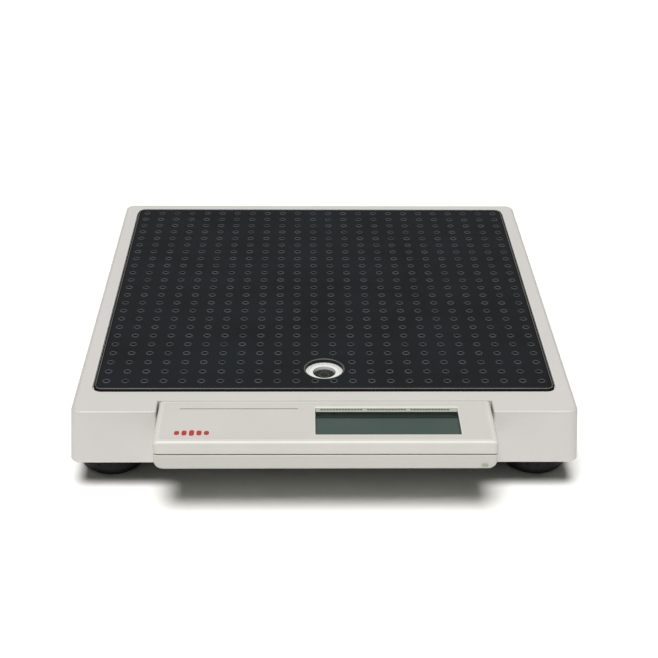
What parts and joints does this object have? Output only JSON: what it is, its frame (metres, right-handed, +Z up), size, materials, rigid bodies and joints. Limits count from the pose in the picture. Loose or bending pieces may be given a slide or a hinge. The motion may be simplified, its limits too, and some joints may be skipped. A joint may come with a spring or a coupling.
{
  "type": "portable platform scale",
  "caption": "Low portable weighing scale: rubber-topped platform on adjustable feet, with a bubble level and a front display pod whose cover rocks as a tap key.",
  "frame": {"origin": "on the floor, under the middle of the whole outline, pod included", "axes": "+Z up; -Y towards the display pod at the front; +X to the right of someone who looks from the display towards the platform"},
  "size_m": [0.321, 0.356, 0.06],
  "materials": {
    "housing_plastic": "light warm grey moulded plastic, fine satin grain",
    "pod_plastic": "light warm grey moulded plastic, satin",
    "dark_plastic": "dark grey moulded plastic",
    "mat_rubber": "charcoal rubber with small raised rings, satin",
    "steel_plate": "zinc plated sheet steel",
    "screw_steel": "zinc plated steel",
    "cell_aluminium": "milled aluminium",
    "sealing_compound": "white silicone",
    "white_plastic": "white moulded plastic",
    "level_glass": "clear moulded vial",
    "level_liquid": "tinted level liquid and its bubble",
    "board": "green lacquered circuit board",
    "wire_sheath": "grey wire sheath",
    "ribbon": "flat ribbon",
    "battery_case": "plain dark battery sleeve",
    "contact_metal": "plated spring bronze",
    "window": "clear pane",
    "lcd": "dark grey-green liquid crystal glass, switched off",
    "contact_rubber": "striped contact rubber",
    "label": "pale green-grey strip with no lettering",
    "foot_rubber": "black rubber",
    "wheel_plastic": "black moulded plastic"
  },
  "bodies": {
    "chassis": {"top_cover": "housing_plastic", "platform_mat": "mat_rubber", "platform_plate": "steel_plate", "left_stiffener": "steel_plate", "right_stiffener": "steel_plate", "bottom_cover": "dark_plastic", "plate_screws": "screw_steel", "bottom_cover_screws": "screw_steel", "front_left_load_cell": "cell_aluminium", "front_right_load_cell": "cell_aluminium", "rear_left_load_cell": "cell_aluminium", "rear_right_load_cell": "cell_aluminium", "load_cell_spacers": "steel_plate", "load_cell_screws": "screw_steel", "gauge_covers": "sealing_compound", "level_housing": "white_plastic", "level_vial": "level_glass", "level_fluid": "level_liquid", "level_bubble": "level_liquid", "main_board": "board", "main_board_parts": "dark_plastic", "main_board_screws": "screw_steel", "sensor_leads": "wire_sheath", "display_ribbon": "ribbon", "battery_leads": "wire_sheath", "batteries": "battery_case", "battery_contacts": "contact_metal", "pod_base": "pod_plastic", "pod_screws": "screw_steel", "display_board": "board", "display_board_screws": "screw_steel", "key_switches": "dark_plastic", "plunger_guides": "white_plastic", "lcd_frame": "dark_plastic", "lcd_glass": "lcd", "contact_strips": "contact_rubber", "left_spring": "screw_steel", "right_spring": "screw_steel"},
    "battery_door": {"battery_lid": "dark_plastic"},
    "tap_cover": {"key_cover": "pod_plastic", "display_window": "window", "label_strip": "label", "pivot_pins": "screw_steel"},
    "left_tap_plunger": {"left_plunger": "white_plastic"},
    "right_tap_plunger": {"right_plunger": "white_plastic"},
    "front_left_foot_sole": {"front_left_sole": "foot_rubber"},
    "front_left_foot_wheel": {"front_left_wheel": "wheel_plastic", "front_left_stud": "screw_steel"},
    "front_right_foot_sole": {"front_right_sole": "foot_rubber"},
    "front_right_foot_wheel": {"front_right_wheel": "wheel_plastic", "front_right_stud": "screw_steel"},
    "rear_left_foot_sole": {"rear_left_sole": "foot_rubber"},
    "rear_left_foot_wheel": {"rear_left_wheel": "wheel_plastic", "rear_left_stud": "screw_steel"},
    "rear_right_foot_sole": {"rear_right_sole": "foot_rubber"},
    "rear_right_foot_wheel": {"rear_right_wheel": "wheel_plastic", "rear_right_stud": "screw_steel"}
  },
  "joints": [
    {"name": "battery_lid_slide", "type": "slide", "parent": "chassis", "child": "battery_door", "axis": [0, 1, 0], "range_m": [0, 0.066]},
    {"name": "cover_tilt", "type": "hinge", "parent": "chassis", "child": "tap_cover", "pos_m": [0, -0.15435, 0.046], "axis": [0, 1, 0], "range_deg": [-0.4, 0.4], "stiffness_Nm_per_rad": 20},
    {"name": "left_plunger_slide", "type": "slide", "parent": "chassis", "child": "left_tap_plunger", "axis": [0, 0, 1], "range_m": [-0.0007, 0.0007], "stiffness_N_per_m": 250, "deforming": ["left_spring"]},
    {"name": "right_plunger_slide", "type": "slide", "parent": "chassis", "child": "right_tap_plunger", "axis": [0, 0, 1], "range_m": [-0.0007, 0.0007], "stiffness_N_per_m": 250, "deforming": ["right_spring"]},
    {"name": "front_left_foot_lift", "type": "slide", "parent": "chassis", "child": "front_left_foot_sole", "axis": [0, 0, -1], "range_m": [-0.00301, 0.00601]},
    {"name": "front_left_foot_turn", "type": "hinge", "parent": "front_left_foot_sole", "child": "front_left_foot_wheel", "pos_m": [-0.138, -0.109, 0.012], "axis": [0, 0, -1], "range_deg": [-720, 1440]},
    {"name": "front_right_foot_lift", "type": "slide", "parent": "chassis", "child": "front_right_foot_sole", "axis": [0, 0, -1], "range_m": [-0.00301, 0.00601]},
    {"name": "front_right_foot_turn", "type": "hinge", "parent": "front_right_foot_sole", "child": "front_right_foot_wheel", "pos_m": [0.138, -0.109, 0.012], "axis": [0, 0, -1], "range_deg": [-720, 1440]},
    {"name": "rear_left_foot_lift", "type": "slide", "parent": "chassis", "child": "rear_left_foot_sole", "axis": [0, 0, -1], "range_m": [-0.00301, 0.00601]},
    {"name": "rear_left_foot_turn", "type": "hinge", "parent": "rear_left_foot_sole", "child": "rear_left_foot_wheel", "pos_m": [-0.138, 0.141, 0.012], "axis": [0, 0, -1], "range_deg": [-720, 1440]},
    {"name": "rear_right_foot_lift", "type": "slide", "parent": "chassis", "child": "rear_right_foot_sole", "axis": [0, 0, -1], "range_m": [-0.00301, 0.00601]},
    {"name": "rear_right_foot_turn", "type": "hinge", "parent": "rear_right_foot_sole", "child": "rear_right_foot_wheel", "pos_m": [0.138, 0.141, 0.012], "axis": [0, 0, -1], "range_deg": [-720, 1440]}
  ],
  "couplings": [
    {"joint": "left_plunger_slide", "follows": "cover_tilt", "m_per_rad": 0.0935},
    {"joint": "right_plunger_slide", "follows": "cover_tilt", "m_per_rad": -0.0935},
    {"joint": "front_left_foot_lift", "follows": "front_left_foot_turn", "m_per_rad": 0.00023873},
    {"joint": "front_right_foot_lift", "follows": "front_right_foot_turn", "m_per_rad": 0.00023873},
    {"joint": "rear_left_foot_lift", "follows": "rear_left_foot_turn", "m_per_rad": 0.00023873},
    {"joint": "rear_right_foot_lift", "follows": "rear_right_foot_turn", "m_per_rad": 0.00023873}
  ]
}
